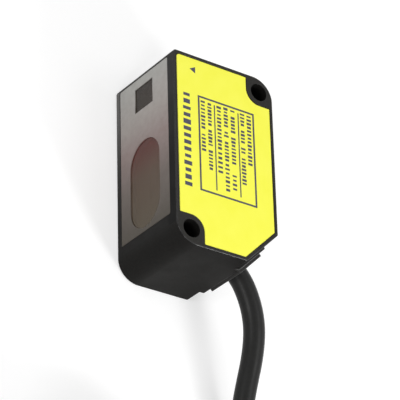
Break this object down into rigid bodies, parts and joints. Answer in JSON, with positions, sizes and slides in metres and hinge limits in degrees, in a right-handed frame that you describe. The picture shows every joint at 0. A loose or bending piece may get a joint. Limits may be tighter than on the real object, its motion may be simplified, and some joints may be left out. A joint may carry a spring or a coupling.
{
  "type": "laser displacement sensor",
  "caption": "Compact laser displacement sensor: diecast case with smoked front window, yellow side label, rear panel with display and push keys, bevelled cable corner and coiled cable.",
  "frame": {"origin": "middle of the mounting side, on its plane, measured on the case without the cable", "axes": "+X from the front window to the rear panel, +Y from the cable end to the top of the sensor, +Z from the mounting side to the label"},
  "size_m": [0.0675, 0.1493, 0.021],
  "materials": {
    "case_paint": "fine matt black paint on diecast metal",
    "label_film": "printed yellow film, satin",
    "window_glass": "smoked, polished",
    "mask_film": "grey printed film",
    "block_moulding": "moulded, matt black",
    "barrel_brass": "turned",
    "diode_can": "plated can",
    "lens_glass": "polished and coated",
    "chip_plastic": "moulded chip body",
    "board_laminate": "green solder resist",
    "screw_steel": "zinc plated",
    "display_face": "dark display face",
    "switch_steel": "pressed sheet dome",
    "led_body": "clear moulding",
    "panel_moulding": "moulded, fine texture",
    "gasket_rubber": "soft foam rubber",
    "display_tint": "dark red tint, polished",
    "light_guide": "frosted clear moulding",
    "key_plastic": "moulded, satin grey",
    "grommet_moulding": "moulded elastomer, satin",
    "inner_insulation": "extruded insulation",
    "cable_jacket": "extruded jacket, satin black",
    "tie_nylon": "moulded nylon strap",
    "core_brown_pvc": "extruded insulation",
    "core_blue_pvc": "extruded insulation",
    "core_black_pvc": "extruded insulation",
    "core_grey_pvc": "extruded insulation",
    "core_pink_pvc": "extruded insulation"
  },
  "bodies": {
    "sensor": {"case": "case_paint", "label": "label_film", "front_window": "window_glass", "aperture_mask": "mask_film", "lens_block": "block_moulding", "laser_barrel": "barrel_brass", "laser_diode": "diode_can", "collimator_lens": "lens_glass", "receiver_lens": "lens_glass", "image_sensor": "chip_plastic", "main_board": "board_laminate", "processor": "chip_plastic", "block_screws": "screw_steel", "board_screws": "screw_steel", "board_connector": "chip_plastic", "display_board": "board_laminate", "display_module": "display_face", "key_switches": "switch_steel", "indicator_leds": "led_body", "rear_panel": "panel_moulding", "panel_gasket": "gasket_rubber", "display_window": "display_tint", "indicator_lights": "light_guide", "cable_grommet": "grommet_moulding", "inner_cores": "inner_insulation", "cable": "cable_jacket", "cable_coil": "cable_jacket", "coil_ties": "tie_nylon", "core_brown": "core_brown_pvc", "core_blue": "core_blue_pvc", "core_black": "core_black_pvc", "core_grey": "core_grey_pvc", "core_pink": "core_pink_pvc"},
    "set_key": {"set_key": "key_plastic"},
    "up_key": {"up_key": "key_plastic"},
    "down_key": {"down_key": "key_plastic"}
  },
  "joints": [
    {"name": "set_key_press", "type": "slide", "parent": "sensor", "child": "set_key", "axis": [-1, 0, 0], "range_m": [0, 0.00025], "stiffness_N_per_m": 6400},
    {"name": "up_key_press", "type": "slide", "parent": "sensor", "child": "up_key", "axis": [-1, 0, 0], "range_m": [0, 0.00025], "stiffness_N_per_m": 6400},
    {"name": "down_key_press", "type": "slide", "parent": "sensor", "child": "down_key", "axis": [-1, 0, 0], "range_m": [0, 0.00025], "stiffness_N_per_m": 6400}
  ]
}
